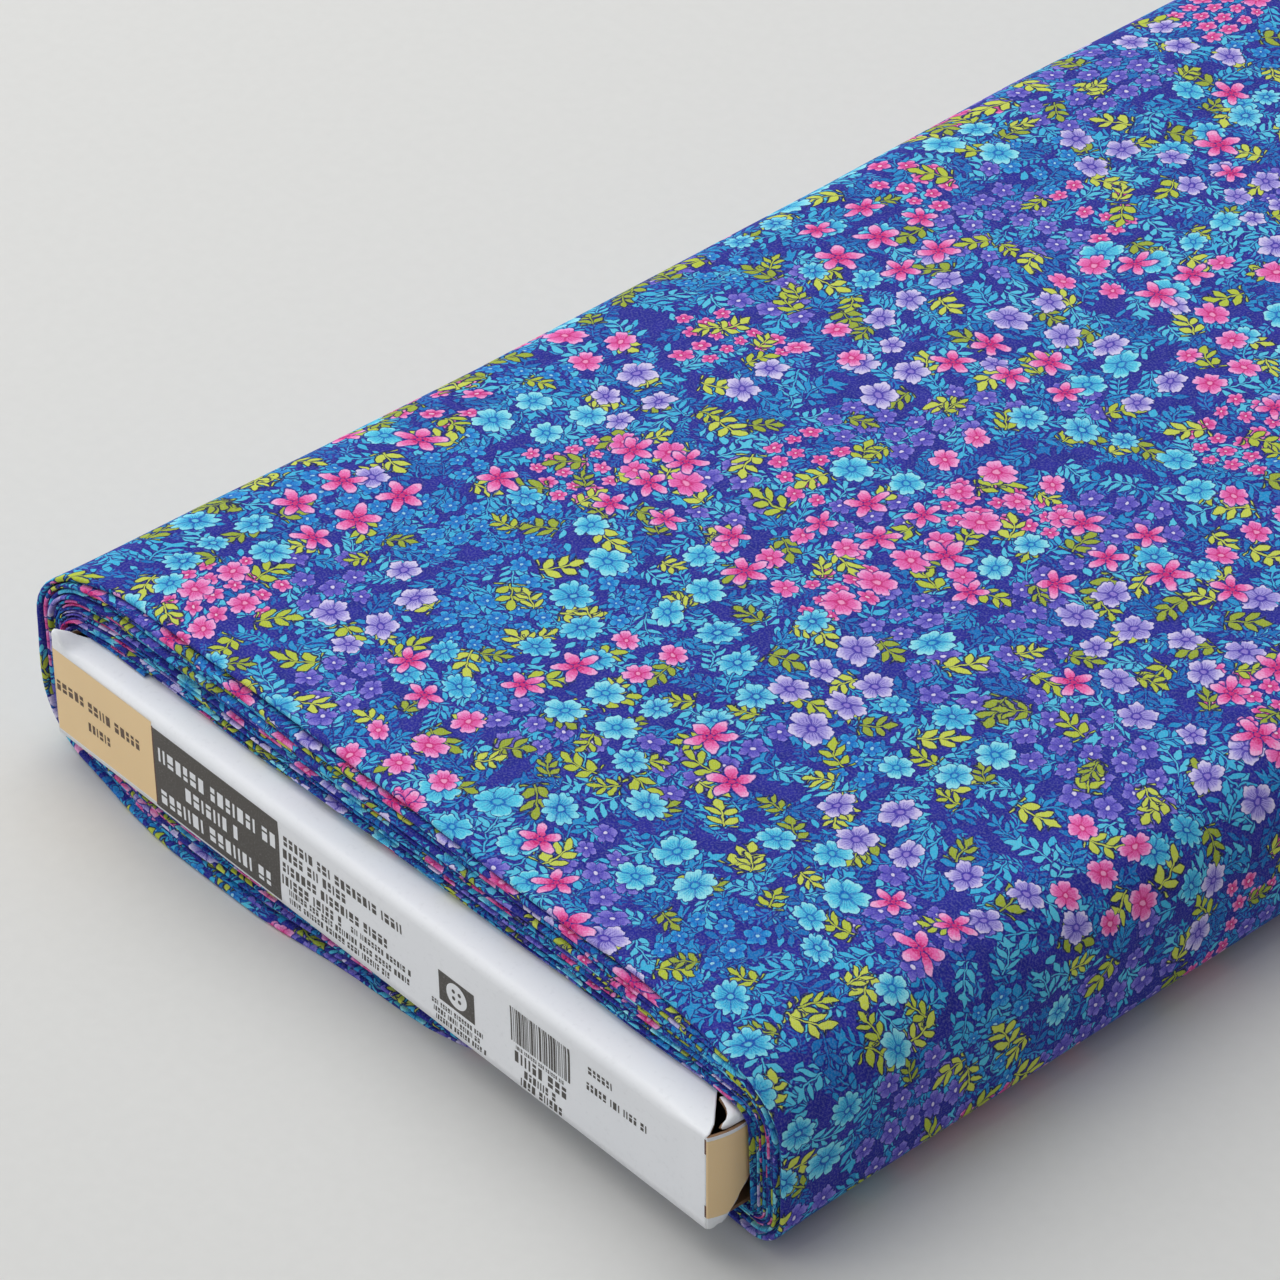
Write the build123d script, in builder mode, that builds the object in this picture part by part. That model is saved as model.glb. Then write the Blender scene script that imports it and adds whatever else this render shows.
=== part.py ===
"""A bolt of quilting cotton: a folded cardboard board with 15 or so turns of doubled cloth wound round it.

Millimetres. +Z is up, Y runs along the board and X across it. The labelled end faces -Y.
The origin is at the middle of the footprint, on the surface that the bolt lies on.
"""

import os
from math import radians, sin

from build123d import *

os.makedirs("parts", exist_ok=True)

# ---- driving dimensions ----
board_length = 590.0
board_width = 203.2  # 8 in
board_thickness = 24.0
card = 0.7  # thickness of the paperboard
cloth_width = 557.0  # 22 in: 44 in cloth folded in half
cloth_from_front = 12.0  # bare board ahead of the cloth, at the labelled end
cloth_below = 9.0  # thickness of the turns under the board
cloth_above = 14.0  # thickness of the turns over the board, at the crown
cloth_beside = 10.5  # thickness of the turns round each long edge
clearance = 0.3  # between the wound cloth and the board, and across each fold

# ---- folds and cuts of the blank ----
ear_length = 11.5  # along the board
ear_margin = 1.5  # the ear is this much lower than the board at top and bottom
tab_length = 16.0
tab_inset = 8.0  # the tab is this much narrower than the board on each side
tab_corner = 6.0
tab_lift = 0.4  # the tab rides this far over the bottom panel
relief_near, relief_far = 3.0, 10.0  # the top panel's corner cut: where it starts and ends, from the end face
relief_slant, relief_lip = 8.0, 1.5  # its slanted edge and the lip beside it, from the side, at relief_far
relief_past = 0.6  # its point lies this far past the side, so that the cut is open there
rib_setback = 24.0  # the ribs stop this far from each end, clear of the tabs
flange_width = 15.0

# ---- outline of the wound cloth ----
shoulder_radii = {"left": 11.0, "right": 17.0}  # the turns stand squarer along the left edge
heel_radius = 10.0
crown = 3.0  # the top rises this far between its shoulders

# ---- places that follow ----
half_width, half_length = board_width / 2, board_length / 2
board_bottom = cloth_below
board_top = board_bottom + board_thickness
inner_bottom, inner_top = board_bottom + card, board_top - card
inner_height = inner_top - inner_bottom
ear_room = ear_length + clearance  # the walls and the bottom are cut back this far for the ears
wall_length = board_length - 2 * ear_room
rib_length = board_length - 2 * rib_setback
cloth_front = -half_length + cloth_from_front
cloth_back = cloth_front + cloth_width
cloth_half = half_width + cloth_beside
total_height = board_top + cloth_above
fold = card + clearance  # a panel stops this far short of the outside of a fold
sides = {"left": -1, "right": 1}
ends = {"front": -1, "back": 1}


def finish(piece, name):
    """Labels a piece and writes its STEP."""
    piece.part.label = name
    export_step(piece.part, f"parts/{name}.step")


# ---- board: top panel, with a three-cornered relief cut where the folds meet ----
with BuildPart() as top_panel:
    with BuildSketch(Plane.XY.offset(inner_top)):
        Rectangle(board_width, board_length - 2 * fold)
        for outward in ends.values():
            for sign in sides.values():
                relief = [
                    (half_width + relief_past, half_length - relief_near),
                    (half_width - relief_slant, half_length - relief_far),
                    (half_width - relief_lip, half_length - relief_far),
                ]
                corners = [(sign * x, outward * y) for x, y in relief]
                Polygon(*corners, align=None, mode=Mode.SUBTRACT)
    extrude(amount=card)
finish(top_panel, "top_panel")

# ---- board: the side walls and, inside, the two halves of the bottom with their upturned ribs ----
for side, sign in sides.items():
    with BuildPart() as side_wall:
        with BuildSketch(Plane.XY.offset(inner_bottom)):
            with Locations((sign * (half_width - card / 2), 0)):
                Rectangle(card, wall_length)
        extrude(amount=inner_height)
    finish(side_wall, f"side_wall_{side}")

    with BuildPart() as bottom_panel:
        with BuildSketch(Plane.XY.offset(board_bottom)):
            with Locations((sign * half_width / 2, 0)):
                Rectangle(half_width, board_length)
            for outward in ends.values():
                with Locations((sign * (half_width - fold / 2), outward * (board_length - ear_room) / 2)):
                    Rectangle(fold, ear_room, mode=Mode.SUBTRACT)
        extrude(amount=card)
    finish(bottom_panel, f"bottom_panel_{side}")

    with BuildPart() as rib:
        with BuildSketch(Plane.XY.offset(inner_bottom)):
            with Locations((sign * card / 2, 0)):
                Rectangle(card, rib_length)
        extrude(amount=inner_height)
    finish(rib, f"rib_{side}")

    with BuildPart() as rib_flange:
        with BuildSketch(Plane.XY.offset(inner_top - card)):
            with Locations((sign * (card + flange_width / 2), 0)):
                Rectangle(flange_width, rib_length)
        extrude(amount=card)
    finish(rib_flange, f"rib_flange_{side}")

# ---- the closure at each end: end panel, tuck tab and an ear round each corner ----
for end, outward in ends.items():
    end_face = outward * half_length

    with BuildPart() as end_panel:
        with BuildSketch(Plane.XY.offset(inner_bottom + clearance)):
            with Locations((0, end_face - outward * card / 2)):
                Rectangle(board_width - 2 * fold, card)
        extrude(amount=inner_height - 2 * clearance)
    finish(end_panel, f"{end}_end_panel")

    with BuildPart() as tuck_tab:
        with BuildSketch(Plane.XY.offset(inner_bottom + tab_lift)):
            with Locations((0, end_face - outward * (fold + tab_length / 2))):
                Rectangle(board_width - 2 * tab_inset, tab_length)
        extrude(amount=card)
        inner_edge = tuck_tab.edges().filter_by(Axis.Z).sort_by(Axis.Y, reverse=outward > 0)[-2:]
        fillet(inner_edge, radius=tab_corner)
    finish(tuck_tab, f"{end}_tuck_tab")

    for side, sign in sides.items():
        with BuildPart() as ear:
            with BuildSketch(Plane.XY.offset(board_bottom + ear_margin)):
                ear_middle = end_face - outward * (fold + ear_length) / 2
                with Locations((sign * (half_width - card / 2), ear_middle)):
                    Rectangle(card, ear_length - fold)
            extrude(amount=board_thickness - 2 * ear_margin)
        finish(ear, f"{end}_ear_{side}")


# ---- cloth: one outline, cut where the board's faces are, so that the window stays open ----
def cloth_outline():
    """Outer outline of the wound cloth in XZ: flat below, round at the long edges, domed on top."""
    shoulder_top = total_height - crown
    heel_x = cloth_half - heel_radius
    diagonal = sin(radians(45))
    crown_ends = []
    for side, sign in sides.items():
        radius = shoulder_radii[side]
        shoulder_x, shoulder_z = cloth_half - radius, shoulder_top - radius
        crown_ends.append(sign * shoulder_x)
        Line((0, 0), (sign * heel_x, 0))
        heel_middle = (heel_x + heel_radius * diagonal, heel_radius * (1 - diagonal))
        ThreePointArc(
            (sign * heel_x, 0), (sign * heel_middle[0], heel_middle[1]), (sign * cloth_half, heel_radius)
        )
        Line((sign * cloth_half, heel_radius), (sign * cloth_half, shoulder_z))
        shoulder_middle = (shoulder_x + radius * diagonal, shoulder_z + radius * diagonal)
        ThreePointArc(
            (sign * cloth_half, shoulder_z),
            (sign * shoulder_middle[0], shoulder_middle[1]),
            (sign * shoulder_x, shoulder_top),
        )
    left_end, right_end = crown_ends
    ThreePointArc((left_end, shoulder_top), ((left_end + right_end) / 2, total_height), (right_end, shoulder_top))


window_half = half_width + clearance
window_bottom = board_bottom - clearance
window_top = board_top + clearance
beside = cloth_half - window_half
# each stretch of the cloth: middle of its slice in X and Z, and the slice's size
stretches = {
    "cloth_turns_over": ((0, (window_top + total_height) / 2), (2 * window_half, total_height - window_top)),
    "cloth_turns_under": ((0, window_bottom / 2), (2 * window_half, window_bottom)),
    "cloth_turns_left": ((-window_half - beside / 2, total_height / 2), (beside, total_height)),
    "cloth_turns_right": ((window_half + beside / 2, total_height / 2), (beside, total_height)),
}
for name, (middle, size) in stretches.items():
    with BuildPart() as cloth_turns:
        with BuildSketch(Plane.XZ.offset(-cloth_back)):
            with BuildLine():
                cloth_outline()
            make_face()
            with Locations(middle):
                Rectangle(*size, mode=Mode.INTERSECT)
        extrude(amount=cloth_width)
    finish(cloth_turns, name)
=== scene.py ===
"""A bolt of printed quilting cotton, as it looks.

It makes the cloth, the card board that the cloth is wound on, and the label's print. Lengths are in metres
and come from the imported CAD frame. Y runs along the board, with the labelled end at -Y. The CAD's ribs and
tuck tabs are shown as they are. Everything else in the CAD has a finer mesh here that stands in for it.
"""

from math import cos, pi, radians, sin, tau

import bpy
import numpy as np
from mathutils import Matrix, Vector


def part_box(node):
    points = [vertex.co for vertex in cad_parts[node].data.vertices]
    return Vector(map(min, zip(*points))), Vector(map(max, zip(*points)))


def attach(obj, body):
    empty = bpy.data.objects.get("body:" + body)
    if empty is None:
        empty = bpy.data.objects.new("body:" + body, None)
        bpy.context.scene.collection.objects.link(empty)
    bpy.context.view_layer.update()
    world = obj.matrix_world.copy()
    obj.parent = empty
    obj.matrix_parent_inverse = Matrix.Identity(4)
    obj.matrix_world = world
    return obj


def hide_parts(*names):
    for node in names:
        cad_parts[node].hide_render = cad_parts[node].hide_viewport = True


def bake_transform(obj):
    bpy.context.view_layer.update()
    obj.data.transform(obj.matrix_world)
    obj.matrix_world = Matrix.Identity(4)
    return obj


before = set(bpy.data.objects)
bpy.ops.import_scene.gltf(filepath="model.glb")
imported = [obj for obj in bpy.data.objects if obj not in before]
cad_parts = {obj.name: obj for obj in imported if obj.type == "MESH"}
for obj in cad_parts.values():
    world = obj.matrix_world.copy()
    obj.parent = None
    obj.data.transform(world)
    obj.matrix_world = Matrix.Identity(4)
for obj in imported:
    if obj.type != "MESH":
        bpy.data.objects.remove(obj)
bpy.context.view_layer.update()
MM = 0.001


# -------- places and sizes, from the frame
def low(node):
    return np.array(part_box(node)[0])


def high(node):
    return np.array(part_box(node)[1])


CARD = (high("top_panel") - low("top_panel"))[2]
HALF_WIDTH = high("side_wall_right")[0]
HALF_LENGTH = high("back_end_panel")[1]
BOARD_LOW = low("bottom_panel_left")[2]
BOARD_HIGH = high("top_panel")[2]
EAR_END_BACK = HALF_LENGTH - abs(high("front_ear_left")[1])  # how far behind the end the ears reach
WALL_END = high("side_wall_left")[1]
CLOTH_HALF = high("cloth_turns_right")[0]
CLOTH_HIGH = high("cloth_turns_over")[2]

CLOTH_WIDTH = 1.118  # 44 in, before it was folded in half
CLOTH_LENGTH = 7.315  # 8 yd
WEAVE_PITCH = 0.48  # mm, of two threads


# -------- materials, written as arithmetic
def srgb(red, green, blue):
    """A colour as it looks on screen, 0 to 255, in the linear values that the shader takes."""
    parts = [c / 255 for c in (red, green, blue)]
    return [c / 12.92 if c <= 0.04045 else ((c + 0.055) / 1.055) ** 2.4 for c in parts] + [1.0]


class Number:
    """A number that the shader works out at each point."""

    def __init__(self, shade, socket):
        self.shade, self.socket = shade, socket

    def __add__(self, other):
        return self.shade.math("ADD", self, other)

    def __sub__(self, other):
        return self.shade.math("SUBTRACT", self, other)

    def __rsub__(self, other):
        return self.shade.math("SUBTRACT", other, self)

    def __mul__(self, other):
        return self.shade.math("MULTIPLY", self, other)

    def __truediv__(self, other):
        return self.shade.math("DIVIDE", self, other)

    def __abs__(self):
        return self.shade.math("ABSOLUTE", self)

    __radd__, __rmul__ = __add__, __mul__


class Shade:
    """A material whose nodes are made by ordinary-looking sums."""

    def __init__(self, name, **constants):
        self.material = bpy.data.materials.new(name)
        self.material.use_nodes = True
        self.tree = self.material.node_tree
        self.shader = self.tree.nodes["Principled BSDF"]
        for key, value in constants.items():
            self.shader.inputs[key.replace("_", " ")].default_value = value

    def feed(self, socket, value):
        value = value.socket if isinstance(value, Number) else value
        if isinstance(value, bpy.types.NodeSocket):
            self.tree.links.new(value, socket)
        else:
            socket.default_value = value

    def node(self, kind, inputs=(), **settings):
        node = self.tree.nodes.new("ShaderNode" + kind)
        for key, value in settings.items():
            setattr(node, key, value)
        for key, value in dict(inputs).items():
            self.feed(node.inputs[key], value)
        return node

    def math(self, operation, *terms, clamp=False):
        node = self.node("Math", operation=operation, use_clamp=clamp)
        for socket, term in zip(node.inputs, terms):
            self.feed(socket, term)
        return Number(self, node.outputs[0])

    def least(self, a, b):
        return self.math("MINIMUM", a, b)

    def most(self, a, b):
        return self.math("MAXIMUM", a, b)

    def floor(self, a):
        return self.math("FLOOR", a)

    def more(self, a, b):
        """1 where a is more than b, and 0 elsewhere."""
        return self.math("GREATER_THAN", a, b)

    def cover(self, inside, edge=0.14):
        """1 where inside is positive and 0 outside, with a soft edge, both in millimetres."""
        return self.math("MULTIPLY_ADD", inside, 1 / edge, 0.5, clamp=True)

    def ramp(self, value, start, end):
        """0 at start and below, 1 at end and above."""
        inputs = {"Value": value, "From Min": start, "From Max": end}
        return Number(self, self.node("MapRange", inputs, interpolation_type="SMOOTHSTEP").outputs[0])

    def mix(self, share, under, over):
        node = self.node("Mix", data_type="RGBA", clamp_factor=True)
        for socket, value in zip((node.inputs[0], node.inputs[6], node.inputs[7]), (share, under, over)):
            self.feed(socket, value)
        return node.outputs[2]

    def choose(self, value, colours):
        """One of several colours, by a number from 0 to 1."""
        node = self.node("ValToRGB", {"Fac": value})
        node.color_ramp.interpolation = "CONSTANT"
        stops = node.color_ramp.elements
        while len(stops) < len(colours):
            stops.new(len(stops) / len(colours))
        for i, colour in enumerate(colours):
            stops[i].position, stops[i].color = i / len(colours), colour
        return node.outputs[0]

    def noise(self, vector, scale, detail=2.0, dimensions="3D"):
        inputs = {"Vector": vector, "Scale": scale, "Detail": detail}
        return self.node("TexNoise", inputs, noise_dimensions=dimensions)

    def split(self, vector):
        node = self.node("SeparateXYZ", {0: vector})
        return [Number(self, out) for out in node.outputs]

    def join(self, x, y, z=0.0):
        return self.node("CombineXYZ", {0: x, 1: y, 2: z}).outputs[0]

    def bump(self, height, distance, strength=1.0):
        inputs = {"Height": height, "Distance": distance, "Strength": strength}
        self.feed(self.shader.inputs["Normal"], self.node("Bump", inputs).outputs[0])


# -------- the floral print, in millimetres on the flat cloth
def scatter(s, point, pitch, jitter, seed):
    """Half-drop cells, each with one motif.

    It gives x and y from the motif's middle, the middle itself, and four random numbers.
    """
    u, v = point
    down = v / pitch + seed * 0.37
    row = s.floor(down)
    across = u / pitch + s.math("MODULO", row, 2.0) * 0.5 + seed * 0.61
    column = s.floor(across)
    random = s.node("TexWhiteNoise", {"Vector": s.join(column, row, seed)}, noise_dimensions="3D")
    chances = s.split(random.outputs["Color"])
    chances.append(Number(s, random.outputs["Value"]))
    from_middle = (across - column - 0.5) * pitch, (down - row - 0.5) * pitch
    middle = s.join(u - from_middle[0], v - from_middle[1])
    x, y = [place + (chance - 0.5) * jitter for place, chance in zip(from_middle, chances)]
    x, y = turned(s, x, y, chances[2] * tau)
    return x, y, middle, chances


def turned(s, x, y, angle):
    rotate = s.node("VectorRotate", {"Vector": s.join(x, y), "Angle": angle}, rotation_type="Z_AXIS")
    return s.split(rotate.outputs[0])[:2]


def sprig(s, x, y, length, spacing, leaf, width, splay, bend, roundness=1.0):
    """How far inside a stem with leaflets to both sides, and one at its tip, a point is."""
    y = y - x * x * bend
    side = abs(y)
    step = s.math("FRACT", x / spacing + 20.0) * spacing - spacing / 2
    taper = 1.0 - s.ramp(x, -length / 2, length / 2 + leaf) * 0.4
    ahead = side - leaf * 0.5 * sin(splay) - 0.25
    u = (step * cos(splay) + ahead * sin(splay)) / (leaf / 2)
    v = step * -sin(splay) + ahead * cos(splay)
    leaflets = taper * width * (1.0 - s.math("POWER", abs(u), 1.0 + roundness)) - abs(v)
    leaflets = s.least(leaflets, length / 2 - abs(x))
    tip = (x - length / 2) / (leaf / 2)
    tip_leaf = width * (1.0 - s.math("POWER", abs(tip), 1.0 + roundness)) - side
    stem = s.least(0.15 - side, length / 2 - abs(x))
    return s.most(s.most(leaflets, tip_leaf), stem)


def around(s, x, y):
    """How far a point is from a flower's middle, and its angle from the nearest of five petals."""
    out = s.math("SQRT", x * x + y * y)
    turn = s.math("ARCTAN2", y, x) * (5 / tau)
    return out, (s.math("FRACT", turn + 20.0) - 0.5) * (tau / 5)


def star(s, x, y, radius, width=0.235):
    """Five separate oval petals: how far inside them a point is, and how far out as a share of the radius."""
    out, angle = around(s, x, y)
    along = (out * s.math("COSINE", angle) / radius - 0.57) / 0.43
    across = out * s.math("SINE", angle) / (radius * width)
    inside = (1.0 - s.math("SQRT", along * along + across * across)) * (radius * width)
    return s.most(inside, radius * 0.13 - out), out / radius


def rosette(s, x, y, radius, notch, frill, frills):
    """Five joined petals: how far inside, how far out, how far from the nearest crease, and fine veins."""
    out, angle = around(s, x, y)
    scallops = abs(s.math("COSINE", angle * (frills / 2) + (frills % 2 == 0) * pi / 2))
    rim = s.math("COSINE", angle * 2.5) * notch + scallops * frill
    crease = out * s.math("SINE", pi / 5 - abs(angle))
    veins = s.ramp(s.math("COSINE", angle * 25), -0.1, 0.9)
    return (rim + (1.0 - notch - frill)) * radius - out, out / radius, crease, veins


GROUND = srgb(50, 50, 168)
GROUND_DEEP = srgb(26, 36, 138)
OUTLINE = srgb(26, 34, 76)
TEALS = [srgb(32, 150, 214), srgb(64, 188, 232), srgb(18, 118, 196), srgb(88, 204, 236)]
FINE_TEALS = [srgb(30, 130, 208), srgb(58, 166, 224), srgb(22, 106, 192), srgb(44, 174, 220)]
LIMES = [srgb(190, 206, 62), srgb(162, 180, 52), srgb(208, 220, 84)]
# flowers with joined petals: pitch, radius, notch, frill, frills, the patches each grows in, share shown and
# seed, then the colours of its rim, body, heart and eye
ROSETTES = [
    (
        (6.5, 3.3, 0.34, 0.10, 15, (0.73, 0.89), 0.9, 3.0),
        (srgb(142, 132, 226), srgb(108, 98, 208), srgb(70, 62, 176), srgb(226, 220, 250)),
    ),
    (
        (5.4, 2.6, 0.40, 0.0, 5, (0.89, 1.01), 0.8, 4.0),
        (srgb(56, 176, 234), srgb(28, 142, 220), srgb(24, 104, 196), srgb(160, 222, 244)),
    ),
    (
        (5.0, 2.45, 0.40, 0.0, 5, (0.61, 0.72), 0.85, 5.0),
        (srgb(252, 164, 220), srgb(240, 98, 178), srgb(206, 44, 128), srgb(252, 200, 228)),
    ),
    (
        (11.0, 5.2, 0.24, 0.15, 10, (0.0, 0.17), 0.75, 8.0),
        (srgb(160, 240, 250), srgb(92, 216, 244), srgb(12, 110, 196), srgb(74, 190, 226)),
    ),
    (
        (10.4, 4.5, 0.04, 0.26, 10, (0.17, 0.33), 0.75, 11.0),
        (srgb(140, 232, 248), srgb(76, 202, 240), srgb(12, 86, 182), srgb(96, 204, 232)),
    ),
    (
        (10.4, 4.8, 0.32, 0.10, 15, (0.33, 0.5), 0.8, 9.0),
        (srgb(228, 220, 252), srgb(178, 166, 238), srgb(70, 54, 176), srgb(150, 130, 218)),
    ),
    (
        (10.2, 4.3, 0.28, 0.14, 10, (0.5, 0.63), 0.85, 10.0),
        (srgb(255, 182, 232), srgb(246, 118, 194), srgb(212, 40, 128), srgb(250, 160, 206)),
    ),
]
STAR_PINKS = (srgb(255, 184, 230), srgb(246, 112, 184), srgb(216, 40, 124))
STAR_PITCH, STAR_RADIUS = 11.8, 5.3
DRIFT, SHAKE = 7.0, 1.0  # mm by which the print is warped, widely and finely, so that its rows don't show
PATCH = 20  # mm across, of the same kind of flower


def patch_chances(s, middle):
    """Random numbers that all the motifs in one patch of the cloth share, so that like grows by like."""
    inputs = {"Vector": middle, "Scale": 1 / PATCH}
    return s.split(s.node("TexVoronoi", inputs, voronoi_dimensions="2D").outputs["Color"])


def painted(s, colour, inside, shown, shade, halo, outline):
    """A motif over what is already there, with a thin dark edge round it."""
    colour = s.mix(s.cover(inside + halo, 0.25) * shown, colour, outline)
    return s.mix(s.cover(inside) * shown, colour, shade)


def print_colour(s, u, v):
    """The cloth's printed side: ground, foliage, leafy sprigs, posies and flowers, painted in that order."""
    flat = s.join(u, v)
    drift = s.split(s.noise(flat, 1 / 30, 1.0, "2D").outputs["Color"])
    shake = s.split(s.noise(flat, 0.45, 1.0, "2D").outputs["Color"])
    point = [
        place + (slow - 0.5) * DRIFT + (fast - 0.5) * SHAKE
        for place, slow, fast in zip((u, v), drift[:2], shake[:2])
    ]
    grain = Number(s, s.noise(flat, 2.0, 1.0, "2D").outputs["Fac"])
    ragged = (grain - 0.5) * 0.5
    colour = s.mix(Number(s, s.noise(flat, 0.25, 1.0, "2D").outputs["Fac"]), GROUND, GROUND_DEEP)

    for pitch, length, spacing, leaf, width, splay, seed in (
        (8.6, 6.2, 1.25, 1.6, 0.32, 0.85, 21.0),
        (10.4, 7.6, 1.55, 2.1, 0.42, 0.85, 22.0),
    ):
        x, y, _, chances = scatter(s, point, pitch, 1.0, seed)
        inside = sprig(s, x, y, length, spacing, leaf, width, splay, (chances[3] - 0.5) * 0.24)
        shown = s.cover(inside) * s.more(chances[1], 0.3)
        colour = s.mix(shown, colour, s.choose(chances[3], FINE_TEALS))

    x, y, _, chances = scatter(s, point, 4.1, 0.9, 23.0)
    reach = x / 1.55
    inside = 0.66 * (1.0 - reach * reach) - abs(y)
    shade = s.choose(chances[2], TEALS)
    colour = painted(s, colour, inside, s.more(chances[3], 0.5), shade, 0.25, GROUND_DEEP)

    for pitch, length, spacing, leaf, width, splay, seed in (
        (11.2, 7.6, 2.1, 2.9, 0.54, 0.80, 24.0),
        (12.6, 8.6, 2.9, 3.8, 0.80, 0.85, 25.0),
        (10.6, 6.8, 2.4, 3.3, 0.64, 0.75, 29.0),
    ):
        x, y, _, chances = scatter(s, point, pitch, 1.6, seed)
        bend = (chances[3] - 0.5) * 0.16
        inside = sprig(s, x, y, length, spacing, leaf, width, splay, bend) + ragged * 0.15
        shade = s.choose(chances[3], TEALS)
        colour = painted(s, colour, inside, s.more(chances[1], 0.22), shade, 0.3, GROUND_DEEP)

    small, large = ROSETTES[:3], ROSETTES[3:]
    for kinds in (small, large):
        if kinds is large:
            for pitch, length, spacing, leaf, width, splay, fewest, seed in (
                (13.4, 7.4, 3.1, 3.6, 0.92, 0.80, 0.50, 26.0),
                (11.6, 5.4, 2.3, 3.0, 0.62, 0.80, 0.64, 27.0),
            ):
                x, y, _, chances = scatter(s, point, pitch, 2.0, seed)
                bend = (chances[3] - 0.5) * 0.12
                inside = sprig(s, x, y, length, spacing, leaf, width, splay, bend, 1.3) + ragged * 0.2
                shade = s.choose(chances[3], LIMES)
                colour = painted(s, colour, inside, s.more(chances[1], fewest), shade, 0.36, OUTLINE)
        for (pitch, radius, notch, frill, frills, patches, share, seed), shades in kinds:
            x, y, middle, chances = scatter(s, point, pitch, pitch - 2 * radius - 0.3, seed)
            patch, tint, _ = patch_chances(s, middle)
            shown = s.more(patch, patches[0]) * s.more(patches[1], patch) * s.more(share, chances[3])
            size = radius * (0.72 + chances[1] * 0.28)
            inside, out, crease, veins = rosette(s, x, y, size, notch, frill, frills)
            inside = inside + ragged * 0.6
            rim, body, heart, eye = shades
            shade = s.mix(s.ramp(out + ragged * 0.5, 0.75 - tint * 0.5, 0.95), body, rim)
            shade = s.mix(s.ramp(out + ragged * 0.6, 0.9, 0.2) * (0.2 + veins * 0.65), shade, heart)
            shade = s.mix(s.cover(0.16 - crease, 0.2) * s.ramp(out, 1.0, 0.8) * 0.85, shade, heart)
            shade = s.mix(s.cover(0.26 - out, 0.08), shade, heart)
            shade = s.mix(s.cover(0.15 - out, 0.06), shade, eye)
            colour = painted(s, colour, inside, shown, shade, 0.3, GROUND_DEEP)

    x, y, middle, chances = scatter(s, point, STAR_PITCH, 1.0, 28.0)
    patch = patch_chances(s, middle)[1]
    shown = s.more(0.21, patch) * s.more(0.75, chances[3])
    inside, out = star(s, x, y, STAR_RADIUS * (0.75 + chances[1] * 0.25))
    inside = inside + ragged * 0.3
    tip, body, heart = STAR_PINKS
    shade = s.mix(s.ramp(out + ragged * 0.8, 0.55, 0.95), body, tip)
    shade = s.mix(s.ramp(out + ragged * 0.8, 0.55, 0.2), shade, heart)
    colour = painted(s, colour, inside, shown, shade, 0.28, GROUND_DEEP)
    return colour, grain


def printed_cotton():
    """Plain-woven cotton: the print outside, a paler show-through on its wrong side, and a bare selvedge."""
    s = Shade("printed_cotton", Roughness=0.9, Sheen_Weight=0.03, Sheen_Roughness=0.5)
    s.shader.inputs["Specular IOR Level"].default_value = 0.12
    uv = s.split(s.node("UVMap", uv_map="cloth").outputs[0])
    u, v = uv[0] / MM, uv[1] / MM
    colour, grain = print_colour(s, u, v)
    warp = s.math("SINE", u * (tau / WEAVE_PITCH))
    weft = s.math("SINE", v * (tau / WEAVE_PITCH))
    weave = warp * weft
    colour = s.mix(s.math("MULTIPLY_ADD", weave, 0.06, 0.06), colour, srgb(14, 16, 60))
    colour = s.mix(s.math("MULTIPLY_ADD", grain, 0.28, -0.12, clamp=True), colour, srgb(220, 228, 250))
    wrong = s.mix(0.62, colour, srgb(150, 158, 190))
    back = Number(s, s.node("NewGeometry").outputs["Backfacing"])
    colour = s.mix(back, colour, wrong)
    bare = s.cover(abs(u - CLOTH_WIDTH / MM / 2) - (CLOTH_WIDTH / MM / 2 - 9.0), 0.6)
    colour = s.mix(bare, colour, srgb(226, 226, 228))
    s.feed(s.shader.inputs["Base Color"], colour)
    s.feed(s.shader.inputs["Roughness"], s.math("MULTIPLY_ADD", grain, 0.12, 0.82))
    s.bump(weave + grain * 1.5, 0.05 * MM, 0.5)
    return s.material


# -------- board and label materials
def coated_card(name, colour, scuffed):
    """White-lined board: faint fibre mottle, soft scuffs and a slightly shiny clay coat."""
    s = Shade(name, Roughness=0.5)
    s.shader.inputs["Specular IOR Level"].default_value = 0.35
    place = s.node("TexCoord").outputs["Object"]
    fibre = Number(s, s.noise(place, 900.0, 3.0).outputs["Fac"])
    cloud = Number(s, s.noise(place, 28.0, 3.0).outputs["Fac"])
    tone = s.mix(s.ramp(cloud, 0.35, 0.7) * 0.5, colour, scuffed)
    tone = s.mix(s.ramp(fibre, 0.55, 0.75) * 0.07, tone, srgb(150, 152, 158))
    s.feed(s.shader.inputs["Base Color"], tone)
    s.feed(s.shader.inputs["Roughness"], 0.42 + cloud * 0.25)
    s.bump(fibre + cloud * 4.0, 0.03 * MM, 0.35)
    return s.material


def kraft_card():
    """The board's unbleached inside, with flecks of recycled fibre."""
    s = Shade("kraft_card", Roughness=0.9)
    place = s.node("TexCoord").outputs["Object"]
    fleck = Number(s, s.noise(place, 1400.0, 4.0).outputs["Fac"])
    cloud = Number(s, s.noise(place, 60.0, 3.0).outputs["Fac"])
    tone = s.mix(cloud, srgb(120, 88, 62), srgb(150, 116, 86))
    tone = s.mix(s.ramp(fleck, 0.58, 0.7) * 0.5, tone, srgb(84, 60, 42))
    s.feed(s.shader.inputs["Base Color"], tone)
    s.feed(s.shader.inputs["Roughness"], 0.8 + fleck * 0.15)
    s.bump(fleck, 0.05 * MM, 0.5)
    return s.material


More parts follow.
